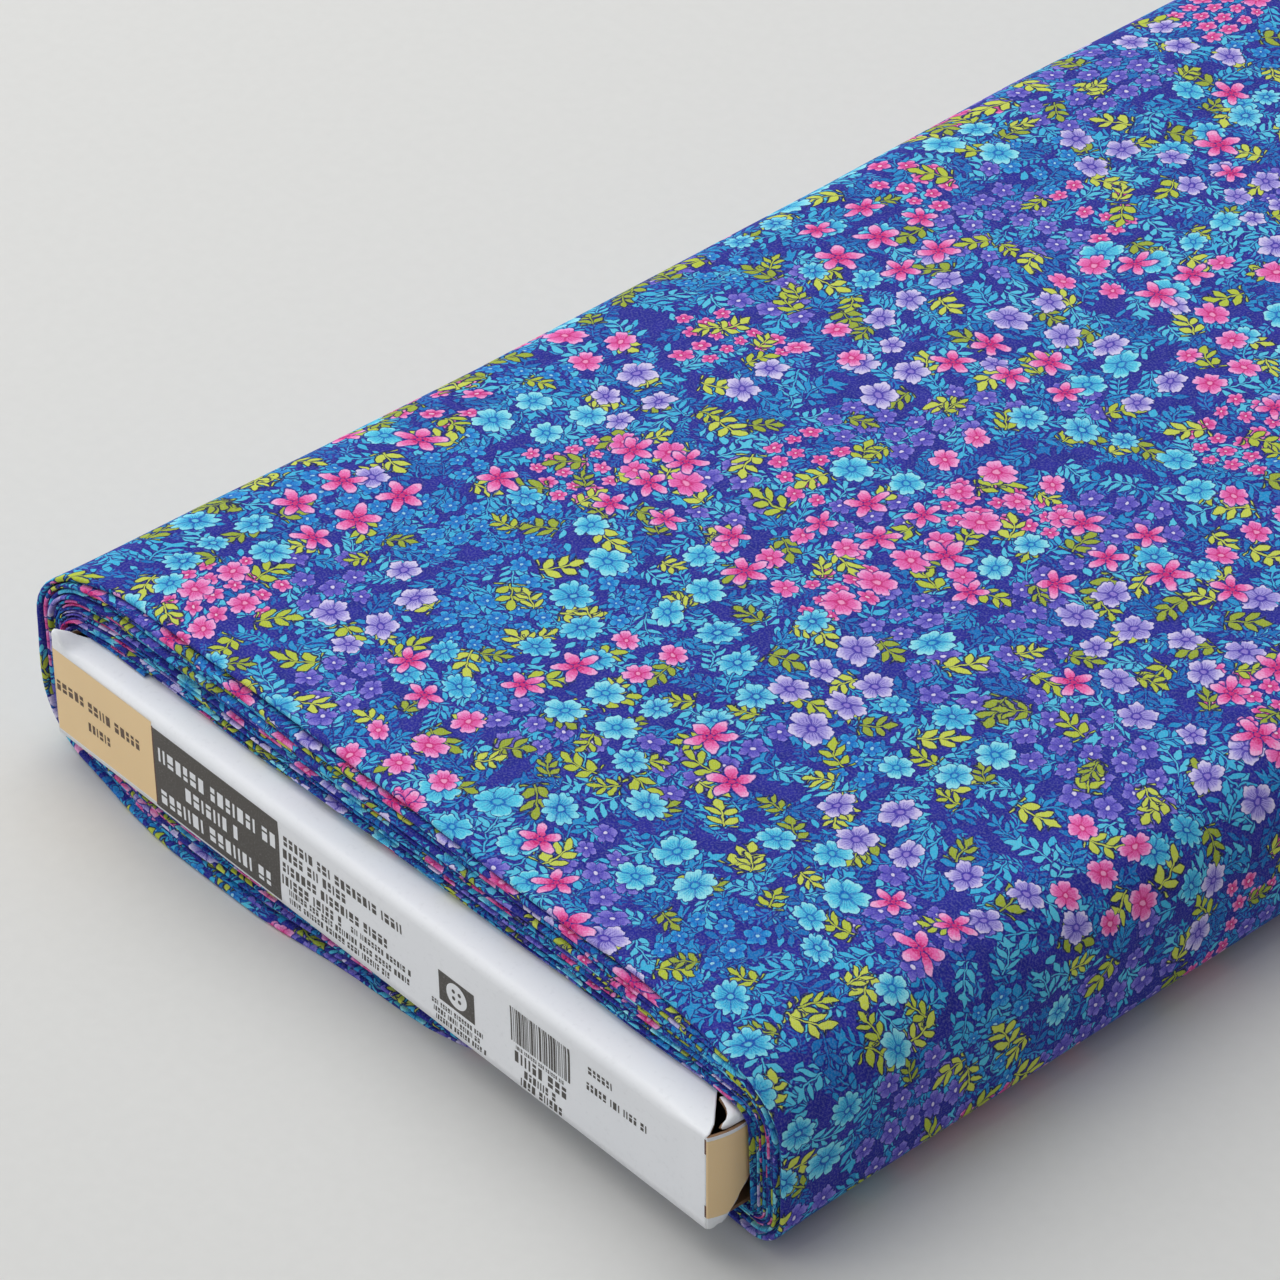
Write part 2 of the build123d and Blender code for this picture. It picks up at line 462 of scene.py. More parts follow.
def ink(name, colour, wear, roughness):
    """Offset ink on board, thin enough to let a little of the fibre through."""
    s = Shade(name, Roughness=roughness)
    place = s.node("TexCoord").outputs["Object"]
    speck = Number(s, s.noise(place, 2600.0, 2.0).outputs["Fac"])
    cloud = Number(s, s.noise(place, 40.0, 2.0).outputs["Fac"])
    tone = s.mix(s.ramp(speck, 0.5, 0.8) * wear, colour, srgb(236, 238, 240))
    tone = s.mix(cloud * 0.12, tone, srgb(60, 50, 40))
    s.feed(s.shader.inputs["Base Color"], tone)
    s.feed(s.shader.inputs["Roughness"], roughness - 0.05 + cloud * 0.15)
    s.bump(speck, 0.01 * MM, 0.3)
    return s.material


# -------- mesh helpers
def mesh_piece(name, points, faces, materials, uvs=None, face_slots=None):
    """A smooth mesh from points and faces, with a UV for each point and a material for each face if given."""
    mesh = bpy.data.meshes.new(name)
    mesh.from_pydata([tuple(p) for p in points], [], [tuple(f) for f in faces])
    for material in materials:
        mesh.materials.append(material)
    if uvs is not None:
        layer = mesh.uv_layers.new(name="cloth")
        corners = np.empty(len(mesh.loops), np.int32)
        mesh.loops.foreach_get("vertex_index", corners)
        layer.data.foreach_set("uv", np.asarray(uvs, np.float32)[corners].ravel())
    if face_slots is not None:
        mesh.polygons.foreach_set("material_index", np.asarray(face_slots, np.int32))
    mesh.polygons.foreach_set("use_smooth", np.ones(len(mesh.polygons), bool))
    mesh.update()
    piece = bpy.data.objects.new(name, mesh)
    bpy.context.scene.collection.objects.link(piece)
    return piece


def grid_faces(rows, columns, start=0, flip=False):
    """The quads of a grid of points, row after row."""
    faces = []
    for i in range(rows - 1):
        for j in range(columns - 1):
            a = start + i * columns + j
            face = (a, a + 1, a + columns + 1, a + columns)
            faces.append(face[::-1] if flip else face)
    return faces


def smooth_noise(values, step, seed):
    """A smooth random number from 0 to 1 along a line, new about every step."""
    table = np.random.default_rng(seed).random(4096)
    whole = np.floor(values / step)
    part = values / step - whole
    part = part * part * (3 - 2 * part)
    first = whole.astype(int) % 4096
    return table[first] * (1 - part) + table[(first + 1) % 4096] * part


def smoothstep(values, start, end):
    """0 at start and below, 1 at end and above."""
    share = np.clip((values - start) / (end - start), 0, 1)
    return share * share * (3 - 2 * share)


# -------- the wound cloth
# share of a turn at which each stretch ends, from the middle of the underside round by +X, the top and -X
STRETCHES = np.cumsum([0.0, 0.2, 0.035, 0.03, 0.03, 0.41, 0.03, 0.03, 0.035, 0.2])
COARSE = (9, 5, 4, 5, 20, 5, 4, 5, 9)  # columns in each stretch, in the turns that are hidden
FINE = (14, 9, 5, 9, 44, 9, 5, 9, 14)
FINE_TURNS = 5
TAIL_TURN = 15.05  # where the cloth's end lies: under the bolt, just past the middle
INNER_GAP = 0.62 * MM  # from the board to the middle of the first doubled turn
OUTER_GAP = 0.75 * MM  # from the last turn's middle to the outline
CROWN = 3 * MM  # rise of the top from its shoulders to its middle
EDGE_CHANGE, WOBBLE_CHANGE, LIP_CHANGE = 0.43, 0.06, 0.11  # of a turn, between random changes
EDGE_SEED, WOBBLE_SEED, LIP_SEED = 11, 12, 13
FOLD_SWELL, FLAT_SHARE = 0.35, 0.34  # half a doubled turn's thickness, at its fold and beyond, per pitch
LEFT_SWELL_FRONT, LEFT_SWELL_MIDDLE = 1.7, 2.6  # mm by which the turns stand higher along the left shoulder


def depth_of(share):
    """How far out a turn lies, from 0 at the board to 1: wound tight at first and ever more loosely."""
    return 0.55 * share + 0.45 * share**4


def section(turn, depth):
    """Where a turn's middle lies in XZ, at depth 0 against the board and 1 outermost."""
    part = turn - np.floor(turn)
    mirrored = part > 0.5
    inner = dict(
        half=HALF_WIDTH + INNER_GAP, bottom=BOARD_LOW - INNER_GAP, top=BOARD_HIGH + INNER_GAP, crown=0.0,
        heel=1.3 * MM, shoulder=1.3 * MM,
    )
    outer = dict(
        half=CLOTH_HALF - OUTER_GAP, bottom=OUTER_GAP, top=CLOTH_HIGH - CROWN - OUTER_GAP, crown=CROWN,
        heel=np.where(mirrored, 14 * MM, 10 * MM), shoulder=np.where(mirrored, 11 * MM, 17 * MM),
    )
    at = {key: inner[key] + (outer[key] - inner[key]) * depth for key in inner}
    near = np.where(mirrored, 1 - part, part)
    side = np.where(mirrored, -1.0, 1.0)
    shares = [np.clip((near - a) / (b - a), 0, 1) for a, b in zip(STRETCHES[:4], STRETCHES[1:5])]
    top_share = np.clip((near - STRETCHES[4]) / (0.5 - STRETCHES[4]), 0, 1)
    heel_x, shoulder_x = at["half"] - at["heel"], at["half"] - at["shoulder"]
    x = shares[0] * heel_x
    z = at["bottom"] + 0 * x
    x = x + at["heel"] * np.sin(shares[1] * pi / 2)
    z = z + at["heel"] * (1 - np.cos(shares[1] * pi / 2))
    z = z + shares[2] * (at["top"] - at["shoulder"] - at["bottom"] - at["heel"])
    x = x - at["shoulder"] * (1 - np.cos(shares[3] * pi / 2))
    z = z + at["shoulder"] * np.sin(shares[3] * pi / 2)
    x = x - top_share * shoulder_x
    z = z + at["crown"] * np.sin(top_share * pi / 2)
    return np.stack([side * x, z], -1)


def outward(turn, depth):
    """The unit vector in XZ that points away from the board."""
    step = 0.002
    run = section(turn + step, depth) - section(turn - step, depth)
    run /= np.linalg.norm(run, axis=-1, keepdims=True)
    return np.stack([run[..., 1], -run[..., 0]], -1)


def wound_columns(turns):
    """The turn number and share of the winding of each column, and how far along the cloth it lies."""
    first = TAIL_TURN - turns
    numbers = []
    for whole in range(int(np.floor(first)), int(TAIL_TURN) + 1):
        counts = FINE if whole >= TAIL_TURN - FINE_TURNS - 1 else COARSE
        for count, a, b in zip(counts, STRETCHES, STRETCHES[1:]):
            numbers.extend(whole + np.linspace(a, b, count, endpoint=False))
    inside = [n for n in numbers if first + 0.003 < n < TAIL_TURN - 0.003]
    numbers = np.array([first, *inside, TAIL_TURN])
    share = (numbers - first) / turns
    path = section(numbers, depth_of(share))
    along = np.concatenate([[0], np.cumsum(np.linalg.norm(np.diff(path, axis=0), axis=1))])
    return numbers, share, along


def top_place(x):
    """Share of a turn at which it passes over x, in mm from the middle of the top."""
    return 0.5 - (0.5 - STRETCHES[4]) * x / 95 if x >= 0 else 1 - top_place(-x)


def under_place(x):
    """Share of a turn at which it passes under x, in mm from the middle of the underside."""
    return STRETCHES[1] * x / 93 if x >= 0 else 1 - under_place(-x)


# how far behind the board's end the folded edge lies, in mm, for the innermost turn, the last but one and the
# last, at places round the bolt
RIGHT_SIDE, LEFT_SIDE = 0.25, 0.75
FRONT_LINE = [
    (under_place(2), 8.0, 4.2, 2.5),
    (under_place(15), 10.0, 6.0, 3.0),
    (under_place(45), 15.0, 13.5, 12.5),
    (0.2, 12.0, 11.8, 11.4),
    (0.218, 10.8, 11.2, 11.4),
    (RIGHT_SIDE, 10.6, 11.0, 11.6),
    (0.28, 9.6, 10.5, 11.3),
    (top_place(95), 9.8, 10.2, 10.9),
    (top_place(87), 10.4, 10.8, 11.9),
    (top_place(66), 9.4, 10.6, 12.8),
    (top_place(46), 10.2, 10.4, 11.8),
    (top_place(28), 9.5, 9.9, 11.6),
    (top_place(5), 8.6, 9.7, 11.7),
    (top_place(-20), 8.5, 9.2, 11.4),
    (top_place(-35), 7.8, 9.4, 11.7),
    (top_place(-55), 8.2, 9.5, 12.3),
    (top_place(-80), 8.0, 9.3, 12.3),
    (top_place(-92), 7.4, 8.8, 11.2),
    (0.706, 6.8, 7.0, 9.0),
    (0.72, 5.2, 5.2, 5.6),
    (LEFT_SIDE, 5.4, 4.2, 3.5),
    (0.782, 6.4, 5.0, 4.8),
    (under_place(-88), 6.0, 3.9, 2.8),
    (under_place(-78), 5.2, 2.1, 0.7),
    (under_place(-62), 4.4, 0.6, -1.2),
    (under_place(-45), 4.2, 0.8, -0.9),
    (under_place(-30), 4.4, 1.2, -0.4),
    (under_place(-18), 5.6, 2.6, 1.3),
    (under_place(-8), 6.8, 3.8, 2.3),
]


def front_line(turn, share):
    """How far behind the end of the board a turn's folded edge lies, before its own unevenness."""
    places, *lines = (np.array(values, float) for values in zip(*FRONT_LINE))
    places = np.concatenate([places - 1, places, places + 1])
    part = turn - np.floor(turn)
    inner, last_but_one, last = (
        np.mean([np.interp(part + step, places, np.tile(line, 3)) for step in (-0.01, 0, 0.01)], 0)
        for line in lines
    )
    line = inner + (last_but_one - inner) * np.clip(share / 0.9, 0, 1)
    return (line + (last - last_but_one) * smoothstep(turn, TAIL_TURN - 1.25, TAIL_TURN - 0.85)) * MM


# distance behind the folded edge of each row across the cloth, in mm, past the round of the fold
ROW_STEPS = (0.8, 1.9, 3.4, 5.5, 8.5, 13, 21, 38, 70, 115, 165, 220, 280, 340, 400, 450, 490, 520, 540, 551)
FOLD_ANGLES = (90, 68, 45, 22, 0)


def make_cloth(material):
    """8 yd of cotton, folded in half along its length and wound round the board."""
    fewest, most = 12.0, 18.0
    for _ in range(40):
        turns = (fewest + most) / 2
        too_long = wound_columns(turns)[2][-1] > CLOTH_LENGTH
        fewest, most = (fewest, turns) if too_long else (turns, most)
    number, share, along = wound_columns(turns)
    depth = depth_of(share)
    middle, out = section(number, depth), outward(number, depth)
    next_turn = section(number + 1, depth_of(share + 1 / turns))
    pitch = np.linalg.norm(next_turn - middle, axis=1)
    pitch = np.clip(pitch, 0.45 * MM, 2.2 * MM)

    below, own, above = (smooth_noise(number + step, EDGE_CHANGE, EDGE_SEED) for step in (-1, 0, 1))
    stands_out = np.clip(0.5 + 1.3 * (own - (below + above) / 2), 0, 1)
    wobble = smooth_noise(number, WOBBLE_CHANGE, WOBBLE_SEED) - 0.5
    edge = front_line(number, share) + ((0.5 - stands_out) * (2.8 - 2.0 * share) + wobble * 0.6) * MM
    bulge = pitch * (FOLD_SWELL + 0.08 * stands_out)
    flat_half = pitch * FLAT_SHARE
    left_shoulder = smoothstep(-middle[:, 0], 55 * MM, 96 * MM) * smoothstep(middle[:, 1], 26 * MM, 40 * MM)

    rows = []
    for layer in (1, -1):
        strip = []
        for angle in FOLD_ANGLES:
            back, half = bulge * (1 - sin(radians(angle))), bulge * cos(radians(angle))
            strip.append((back, half, bulge * radians(90 - angle)))
        for step in (*ROW_STEPS, None):
            length = CLOTH_WIDTH / 2 - bulge * pi / 2
            beyond = length if step is None else np.full_like(length, step * MM)
            half = flat_half + (bulge - flat_half) * (1 - smoothstep(beyond, 0, 9 * MM))
            strip.append((beyond + bulge, half, beyond + bulge * pi / 2))
        strip = [(back, half * layer, CLOTH_WIDTH / 2 + flat * layer) for back, half, flat in strip]
        rows += strip[::-1] if layer == 1 else strip[1:]

    points, uvs = [], []
    for back, half, flat in rows:
        y = -HALF_LENGTH + edge + back
        # slack places, then how the turns spread at the folded end, then the loose edges at the far end
        pillow = np.sin(y * 31 + number * 9.1) * np.sin(number * tau * 3.2 + y * 17) * 0.35
        pillow = pillow + np.sin(y * 74 + 1.3) * np.cos(number * tau * 7.3 - y * 40) * 0.12
        fan = np.exp(-back / (22 * MM)) * 0.3
        fan = fan + left_shoulder * np.exp(-back / (70 * MM)) * LEFT_SWELL_FRONT
        along_middle = smoothstep(y, -0.14, 0.03) * (1 - smoothstep(y, 0.14, 0.27))
        fan = fan + left_shoulder * along_middle * LEFT_SWELL_MIDDLE
        lip = smoothstep(back, 0.525, 0.556) * (smooth_noise(number, LIP_CHANGE, LIP_SEED) - 0.35) * 0.9
        inside = np.clip((1 - share) * turns / 2, 0, 1)
        pillow = pillow * depth**2 + lip * (1 - inside * 0.6) + fan * depth
        reach = half + pillow * MM
        x = middle[:, 0] + out[:, 0] * reach
        z = np.maximum(middle[:, 1] + out[:, 1] * reach, 0.12 * MM)
        points.append(np.stack([x, y, z], -1))
        uvs.append(np.stack([flat, along], -1))
    faces = grid_faces(len(rows), len(number))
    return mesh_piece("wound_cotton", np.concatenate(points), faces, [material], np.concatenate(uvs))


# -------- the board's outside, as folded card
FOLD_RADIUS = 2.3 * MM
CORNER_FOLD_RADIUS = 0.9 * MM  # the long fold at the end is sharper near the corners
LONG_FOLD = 1.1 * MM
EAR_FOLD = 0.4 * MM
EAR_BOW = 0.8 * MM
TAB_ROOM = 0.15 * MM  # so that the folded tuck tab clears the end panel's inside
TIP_RISE, TIP_DENT = 3.2, 0.9  # mm: the lifted tip at the label's left corner, and the wrinkle beside it
# the edge of the strip that folds over each corner, in mm: distances behind the end, then from the middle
CORNER_CUT = ([0, 1.1, 3.5, 10.3, 10.9], [101.15, 101.1, 99.6, 93.0, 100.5])


def face_hollow(x, z):
    """How far the end panel lies behind its flat place: card never stays quite flat."""
    share = (z - BOARD_LOW) / (BOARD_HIGH - BOARD_LOW)
    bow = 0.35 * np.sin(pi * share) * np.sin(x * 17 + 0.6) ** 2
    held = 1 - smoothstep(np.abs(x), HALF_WIDTH - 8 * MM, HALF_WIDTH - 1 * MM)
    held = held * smoothstep(BOARD_HIGH - z, FOLD_RADIUS, FOLD_RADIUS + 4 * MM)
    held = held * smoothstep(z - BOARD_LOW, 0.5 * MM, 4 * MM)
    return (bow + 0.12 * np.sin(x * 55 + share * 4)) * held * MM


def card_sheet(name, grid, outside, inside, flip=False, thickness=CARD):
    """A closed sheet of card from a grid of points on its outer side, rows by columns, and two materials."""
    rows, columns = grid.shape[:2]
    down = np.gradient(grid, axis=0)
    across = np.gradient(grid, axis=1)
    normal = np.cross(down, across)
    normal /= np.linalg.norm(normal, axis=-1, keepdims=True)
    if flip:
        normal = -normal
    count = rows * columns
    points = np.concatenate([grid.reshape(-1, 3), (grid - normal * thickness).reshape(-1, 3)])
    faces = grid_faces(rows, columns, 0, not flip) + grid_faces(rows, columns, count, flip)
    top, bottom = np.arange(columns), (rows - 1) * columns + np.arange(columns)
    left, right = np.arange(rows) * columns, np.arange(rows) * columns + columns - 1
    rim = np.concatenate([top, right[1:], bottom[::-1][1:], left[::-1][1:-1]])
    edge = []
    for a, b in zip(rim, np.roll(rim, -1)):
        face = (a, b, b + count, a + count)
        edge.append(face if not flip else face[::-1])
    quads = (rows - 1) * (columns - 1)
    slots = [0] * quads + [1] * (quads + len(edge))  # the outside, then the inside and the cut edge
    piece = mesh_piece(name, points, faces + edge, [outside, inside], face_slots=slots)
    sharp = np.zeros(len(piece.data.polygons), bool)
    sharp[2 * quads :] = True
    piece.data.polygons.foreach_set("use_smooth", ~sharp)
    return piece


def end_shell(end, side, outside, inside):
    """Half of the top panel, its soft fold and the end panel, as one bent sheet of card."""
    # from -1 to 1, with the columns closer together near the corners
    across = np.sin(np.linspace(-pi / 2, pi / 2, 71) * 0.94) / sin(pi / 2 * 0.94)
    # the second row keeps the shading flat up to the middle of the board, where the two halves meet
    flat = [HALF_LENGTH, HALF_LENGTH - 1 * MM, 0.2, 0.1, 0.05, 0.03, 0.02]
    flat += [0.014, 0.0109, 0.0103, 0.009, 0.0075, 0.006, 0.0047, 0.0035]
    lines = []
    for e in flat:
        x = across * np.interp(e / MM, *CORNER_CUT) * MM
        lines.append((x, np.full_like(x, e), np.full_like(x, BOARD_HIGH)))
    folded_reach = CORNER_CUT[1][0] * MM
    x = across * folded_reach
    radius = FOLD_RADIUS + (CORNER_FOLD_RADIUS - FOLD_RADIUS) * smoothstep(np.abs(x), 88 * MM, 99 * MM)
    for angle in np.radians(np.linspace(0, 90, 8)):
        lines.append((x, radius * (1 - sin(angle)), BOARD_HIGH - radius * (1 - cos(angle))))
    lowest = BOARD_LOW + 0.05 * MM
    for share in np.linspace(0, 1, 14)[1:]:
        z = (BOARD_HIGH - radius) * (1 - share) + lowest * share
        lines.append((x, face_hollow(x, z), z))
    grid = np.zeros((len(lines), len(across), 3))
    for i, (x, e, z) in enumerate(lines):
        if end == "front":
            near_top = smoothstep(z, BOARD_HIGH - 9 * MM, BOARD_HIGH - 1 * MM)
            tip = np.exp(-(((x + 101.2 * MM) / (4 * MM)) ** 2) - (e / (6 * MM)) ** 2)
            dent = np.exp(-(((x + 96.5 * MM) / (1.6 * MM)) ** 2) - ((e - 2 * MM) / (2.2 * MM)) ** 2)
            z = z + (TIP_RISE * tip - TIP_DENT * dent) * MM * near_top
        grid[i] = np.stack([x, side * (HALF_LENGTH - e), z], -1)
    shell = card_sheet(f"{end}_top_and_end_panel", grid, outside, inside, side > 0, CARD - TAB_ROOM)
    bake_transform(shell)
    return shell


# The card beside each cut stays on the side wall as a curled lip. LIP_FLAT has its lines along the board,
# from its free edge to the fold: how far each lies inside the wall and how far behind the end it starts, in mm.
# LIP_STARTS says where the lines of the fold itself start.
LIP_FLAT = [(6.4, 8.9), (4.9, 8.4), (3.4, 7.8), (2.1, 6.9)]
LIP_STARTS = (5.7, 4.7, 4.1, 3.7, 3.8, 4.8)
LIP_DIVE = 0.85 * MM  # its flat part runs on under the top panel


def sleeve_side(side, name, outside, inside):
    """A side wall with its rounded long folds and half of the bottom, as one bent sheet of card."""
    path = [(HALF_WIDTH - inside * MM, BOARD_HIGH, HALF_LENGTH - start * MM, 1) for inside, start in LIP_FLAT]
    for angle, start in zip(np.radians(np.linspace(0, 75, 6)), LIP_STARTS):
        x = HALF_WIDTH - LONG_FOLD * (1 - sin(angle))
        path.append((x, BOARD_HIGH - LONG_FOLD * (1 - cos(angle)), HALF_LENGTH - start * MM, cos(angle)))
    for z in np.linspace(BOARD_HIGH - LONG_FOLD, BOARD_LOW + LONG_FOLD, 9):
        path.append((HALF_WIDTH, z, WALL_END, 0))
    for angle in np.radians(np.linspace(15, 75, 5)):
        x = HALF_WIDTH - LONG_FOLD * (1 - cos(angle))
        path.append((x, BOARD_LOW + LONG_FOLD * (1 - sin(angle)), WALL_END, 0))
    for x in np.linspace(HALF_WIDTH - LONG_FOLD, 0.1 * MM, 14):
        path.append((x, BOARD_LOW, HALF_LENGTH - 0.6 * MM, 0))
    middle = np.linspace(-WALL_END + 6 * MM, WALL_END - 6 * MM, 12)
    grid = np.zeros((len(path), 24, 3))
    for i, (x, z, reach, flatness) in enumerate(path):
        end = WALL_END - 4 * MM + (reach - WALL_END + 4 * MM) * np.linspace(0, 1, 6)
        y = np.concatenate([-end[::-1], middle, end])
        behind = HALF_LENGTH - np.abs(y)
        curl = np.exp(-np.maximum(behind - (HALF_LENGTH - reach), 0) / (2.5 * MM)) * 0.5 * MM
        dive = LIP_DIVE * smoothstep(behind, 9.5 * MM, 12 * MM)
        grid[i] = np.stack([np.full_like(y, side * x), y, z + (curl - dive) * flatness], -1)
    return card_sheet(name, grid, outside, inside, flip=side < 0)


# outline of an ear, in mm from the board's underside: its lower edge is cut away towards the free end
EAR_LOWER = ([0, 3.5, 8.3, 11.5], [0.1, 0.7, 6.2, 8.6])
EAR_UPPER = ([0, 2, 11.5], [23.8, 23.6, 22.4])
TAN_LOW, TAN_MARGIN = 3.0, 0.9  # mm: lower edge of the print on an ear, and the white edge left over it


def ear_lines(lift):
    """Points of an ear's outer side from the end face round the corner, as x and distance behind the end."""
    reach = EAR_FOLD + lift
    path = []
    for angle in np.radians(np.linspace(0, 90, 5)):
        path.append((HALF_WIDTH - EAR_FOLD + reach * sin(angle), EAR_FOLD - reach * cos(angle)))
    for e in np.linspace(EAR_FOLD, EAR_END_BACK, 13)[1:]:
        path.append((HALF_WIDTH + lift + EAR_BOW * sin(pi * e / EAR_END_BACK), e))
    return path


def ear_sheet(side_y, side, name, outside, inside):
    """An ear: it wraps round the vertical corner from the end panel and lies against the side."""
    path = ear_lines(0.0)
    grid = np.zeros((len(path), 14, 3))
    for i, (x, e) in enumerate(path):
        z = BOARD_LOW + np.linspace(np.interp(e / MM, *EAR_UPPER), np.interp(e / MM, *EAR_LOWER), 14) * MM
        fray = 0.25 * np.sin(e / MM * 9.0) * np.linspace(0, 1, 14) ** 6 * MM
        y = side_y * (HALF_LENGTH - e)
        grid[i] = np.stack([np.full_like(z, side * x), np.full_like(z, y), z + fray], -1)
    return card_sheet(name, grid, outside, inside, flip=(side * side_y) < 0)


def ear_print(side, name, material):
    """The tan print that runs on from the label round the corner, onto an ear."""
    rows = 12
    path = [(x, e) for x, e in ear_lines(INK_LIFT) if e < EAR_END_BACK - 0.3 * MM]
    points = []
    for x, e in path:
        lower = max(TAN_LOW - 0.15 * e / MM, np.interp(e / MM, *EAR_LOWER) + 0.2)
        upper = np.interp(e / MM, *EAR_UPPER) - TAN_MARGIN
        for z in np.linspace(upper, lower, rows):
            points.append((side * x, -(HALF_LENGTH - e), BOARD_LOW + z * MM))
    return mesh_piece(name, points, grid_faces(len(path), rows, 0, side < 0), [material])


def bend_with_ear(piece):
    """Bakes the piece's placement into its mesh."""
    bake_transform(piece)


# -------- the label's print, as thin ink on the end panel
INK_LIFT = 0.03 * MM
MARK_GAP = 0.24  # of a mark's height, between two marks of a row


def stamp(name, blocks, material, layer=1):
    """Flat patches of ink on the front end panel. A block is x and z of two corners, in mm on the board."""
    points, faces = [], []
    for x0, x1, z0, z1 in blocks:
        columns = max(2, int(abs(x1 - x0) / 2.5) + 2)
        rows = max(2, int(abs(z1 - z0) / 2.0) + 2)
        x, z = np.meshgrid(np.linspace(x0, x1, columns) * MM, BOARD_LOW + np.linspace(z0, z1, rows) * MM)
        y = -(HALF_LENGTH - face_hollow(x, z) + INK_LIFT * layer)
        faces += grid_faces(rows, columns, len(points))
        points += list(np.stack([x, y, z], -1).reshape(-1, 3))
    return inked(name, points, faces, material)


def stamp_round(name, rounds, material, layer):
    """Discs of ink on the front end panel: x and z of the middle, radius, and how square it is, in mm."""
    points, faces = [], []
    for x0, z0, radius, squareness in rounds:
        angle = np.linspace(0, tau, 40, endpoint=False)
        reach = np.abs(np.cos(angle)) ** squareness + np.abs(np.sin(angle)) ** squareness
        reach = radius / reach ** (1 / squareness)
        x = np.append(x0 + reach * np.cos(angle), x0) * MM
        z = BOARD_LOW + np.append(z0 + reach * np.sin(angle), z0) * MM
        y = -(HALF_LENGTH - face_hollow(x, z) + INK_LIFT * layer)
        start = len(points)
        points += list(np.stack([x, y, z], -1))
        faces += [(start + 40, start + i, start + (i + 1) % 40) for i in range(40)]
    return inked(name, points, faces, material)


def inked(name, points, faces, material):
    """A piece of print, attached to the front flap's body."""
    piece = mesh_piece(name, points, faces, [material])
    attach(piece, "front_flap")
    return piece


def marks(x0, x1, z, height, seed):
    """A row of plain upright marks in word-like groups, standing in for a line of print."""
    chance = np.random.default_rng(seed)
    blocks, x = [], x0
    low_edge, high_edge = z - height / 2, z + height / 2
    while x < x1 - height * 0.3:
        for _ in range(chance.integers(3, 9)):
            width = height * chance.choice([0.18, 0.38, 0.46, 0.52])
            if x + width > x1:
                break
            slit = z + height * chance.uniform(-0.2, 0.2)
            if width > height * 0.3 and chance.random() < 0.7:
                blocks.append((x, x + width, low_edge, slit - height * 0.07))
                blocks.append((x, x + width, slit + height * 0.07, high_edge))
            else:
                blocks.append((x, x + width, low_edge, high_edge))
            x += width + height * MARK_GAP
        x += height * 0.4
    return blocks


# -------- put together
cotton = printed_cotton()
white_card = coated_card("coated_white_card", srgb(243, 245, 249), srgb(234, 237, 242))
kraft = kraft_card()

cloth = make_cloth(cotton)
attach(cloth, "wound_cloth")
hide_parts("cloth_turns_over", "cloth_turns_under", "cloth_turns_left", "cloth_turns_right")

front_shell = end_shell("front", -1, white_card, kraft)
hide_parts("front_end_panel", "top_panel")
back_shell = end_shell("back", 1, white_card, kraft)
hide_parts("back_end_panel", "top_panel")

tan = ink("tan_ink", srgb(250, 217, 164), 0.1, 0.5)
for side, sign in (("left", -1), ("right", 1)):
    sleeve = sleeve_side(sign, f"sleeve_{side}", white_card, kraft)
    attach(sleeve, "board")
    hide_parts(f"side_wall_{side}", f"bottom_panel_{side}")
    for end, outward_sign in (("front", -1), ("back", 1)):
        ear = ear_sheet(outward_sign, sign, f"{end}_{side}_ear_card", white_card, kraft)
        bend_with_ear(ear)
        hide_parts(f"{end}_ear_{side}")
    tan_ear = ear_print(sign, f"label_tan_{side}_ear", tan)
    bend_with_ear(tan_ear)

RIBS = ("rib_left", "rib_right", "rib_flange_left", "rib_flange_right")
for name in (*RIBS, "front_tuck_tab", "back_tuck_tab"):
    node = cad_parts[name]
    node.data.materials.clear()
    node.data.materials.append(kraft if name in RIBS else white_card)


# -------- the label: x and z in mm on the board
dark = ink("dark_ink", srgb(70, 66, 62), 0.12, 0.45)
brown = ink("brown_ink", srgb(96, 70, 50), 0.15, 0.5)
paper = ink("knocked_out_white", srgb(243, 245, 249), 0.0, 0.5)
rust = ink("rust_ink", srgb(92, 50, 38), 0.1, 0.5)
stamp("label_tan_block", [(-101.15, -67.9, 1.2, 22.6)], tan)
stamp("label_rust_line", [(-67.9, -67.5, 0.7, 21.7)], rust)
stamp("label_dark_block", [(-67.5, -26.7, 0.6, 21.5)], dark)
rows = marks(-100.6, -72.6, 13.3, 2.6, 1) + marks(-90.7, -82.7, 7.6, 2.3, 2)
stamp("label_brown_rows", rows, brown, layer=2)
rows = marks(-66.0, -27.6, 15.3, 3.6, 3) + marks(-57.4, -38.7, 9.8, 3.5, 4) + marks(-66.0, -29.9, 4.2, 3.6, 5)
stamp("label_white_rows", rows, paper, layer=2)
black = []
for x0, x1, z, height in (
    (-25.2, 12.9, 17.5, 2.5), (-25.6, -4.3, 14.0, 2.4), (-25.8, 7.2, 10.4, 2.4), (-26.1, -6.5, 7.0, 2.4),
    (-4.5, 14.0, 7.2, 1.5), (-24.0, 14.0, 4.6, 1.5), (-24.0, 8.0, 2.4, 1.5),
    (67.3, 74.7, 17.8, 1.9), (66.8, 84.3, 13.5, 1.9),
    (45.6, 61.4, 7.0, 2.8), (48.4, 58.4, 3.9, 1.9), (47.4, 60.0, 1.5, 1.9), (46.0, 60.5, 9.4, 0.9),
    (20.4, 36.0, 5.2, 1.2), (21.0, 35.0, 3.4, 1.2), (21.8, 37.0, 1.7, 1.2),
):
    black += marks(x0, x1, z, height, int(x0 * 7 + z * 11) % 997)
stamp("label_black_rows", black, dark)
BARS_START, BARS_END, BARS_LOW, BARS_HIGH = 44.6, 61.6, 10.5, 19.5
bars, x = [], BARS_START
chance = np.random.default_rng(5)
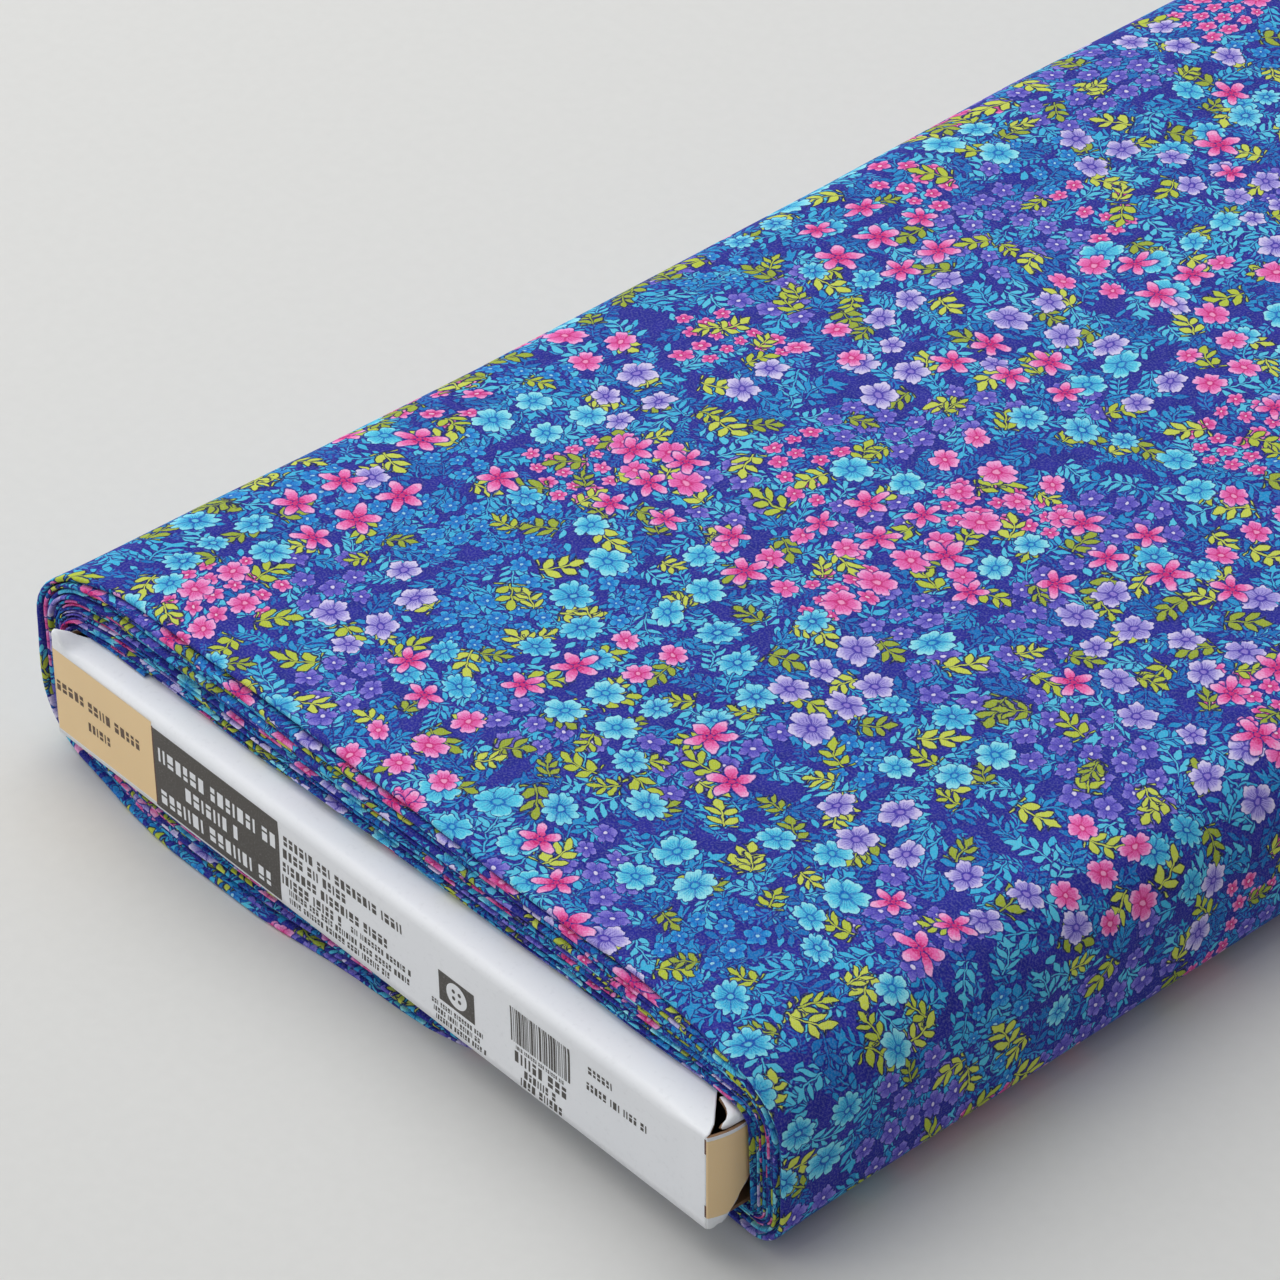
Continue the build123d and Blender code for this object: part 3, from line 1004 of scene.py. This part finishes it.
while x < BARS_END:
    width = chance.choice([0.2, 0.2, 0.4, 0.6])
    bars.append((x, x + width, BARS_LOW, BARS_HIGH))
    x += width + chance.choice([0.2, 0.2, 0.4])
stamp("label_bars", bars, dark)
BADGE_X, BADGE_Z = 28.2, 10.6  # a badge with a four-hole sewing button on it
stamp("label_badge", [(BADGE_X - 5.4, BADGE_X + 5.4, BADGE_Z - 3.9, BADGE_Z + 3.9)], dark)
stamp_round("label_badge_button", [(BADGE_X, BADGE_Z, 3.1, 2)], paper, 2)
holes = [(BADGE_X + dx, BADGE_Z + dz, 0.5, 2) for dx in (-0.9, 0.9) for dz in (-0.9, 0.9)]
stamp_round("label_badge_holes", holes, dark, 3)
# the cut parts of the score at the right-hand corner, where the card's brown inside shows
stamp("label_corner_cuts", [(100.75, 101.2, 19.4, 23.2), (100.75, 101.2, 3.1, 6.1)], rust, layer=2)

# -------- floor, light and camera
floor_shade = Shade("floor_paper", Roughness=0.8)
place = floor_shade.node("TexCoord").outputs["Object"]
grain = Number(floor_shade, floor_shade.noise(place, 300.0, 3.0).outputs["Fac"])
floor_shade.feed(
    floor_shade.shader.inputs["Base Color"], floor_shade.mix(grain, srgb(216, 216, 214), srgb(221, 221, 219))
)
floor_shade.bump(grain, 0.05 * MM, 0.2)
floor = mesh_piece(
    "floor", [(-4, -4, 0), (4, -4, 0), (4, 4, 0), (-4, 4, 0)], [(0, 1, 2, 3)], [floor_shade.material]
)

world = bpy.data.worlds.new("studio")
world.use_nodes = True
sky = world.node_tree.nodes
direction = sky.new("ShaderNodeSeparateXYZ")
across = sky.new("ShaderNodeMapRange")  # a room that is darker on the bolt's +X side
for key, value in {"From Min": -1.0, "From Max": 1.0, "To Min": 0.56, "To Max": 0.25}.items():
    across.inputs[key].default_value = value
world.node_tree.links.new(sky.new("ShaderNodeTexCoord").outputs["Generated"], direction.inputs[0])
world.node_tree.links.new(direction.outputs["X"], across.inputs["Value"])
world.node_tree.links.new(across.outputs[0], sky["Background"].inputs["Strength"])
sky["Background"].inputs["Color"].default_value = (0.97, 0.98, 1.0, 1)
bpy.context.scene.world = world
bpy.context.scene.view_settings.view_transform = "Standard"


def area_light(name, place, target, size, watts, colour=(1, 1, 1)):
    """A round soft light that points at target."""
    data = bpy.data.lights.new(name, "AREA")
    data.shape, data.size, data.energy, data.color = "DISK", size, watts, colour
    lamp = bpy.data.objects.new(name, data)
    lamp.location = place
    lamp.rotation_euler = (Vector(target) - Vector(place)).to_track_quat("-Z", "Y").to_euler()
    bpy.context.scene.collection.objects.link(lamp)


area_light("key", (-1.05, 0.1, 1.8), (0, 0, 0), size=3.2, watts=41.2, colour=(1, 0.995, 0.98))
area_light("fill", (-0.9, -1.3, 0.5), (0, -0.3, 0), size=0.8, watts=2.5)

CAMERA_PLACE = Vector((0.6737, -0.8158, 0.7607))
LENS, FILM = 159.05, 36  # mm
AZIMUTH, ELEVATION, ROLL = radians(48.56), radians(38.21), radians(-0.54)
right = Vector((cos(AZIMUTH), sin(AZIMUTH), 0))
back = Vector((sin(AZIMUTH) * cos(ELEVATION), -cos(AZIMUTH) * cos(ELEVATION), sin(ELEVATION)))
up = back.cross(right)
right, up = right * cos(ROLL) + up * sin(ROLL), up * cos(ROLL) - right * sin(ROLL)
camera = bpy.data.objects.new("camera", bpy.data.cameras.new("camera"))
camera.data.lens, camera.data.sensor_width = LENS, FILM
camera.data.clip_start, camera.data.clip_end = 0.01, 20
camera.matrix_world = Matrix.Translation(CAMERA_PLACE) @ Matrix((right, up, back)).transposed().to_4x4()
bpy.context.scene.collection.objects.link(camera)
bpy.context.scene.camera = camera
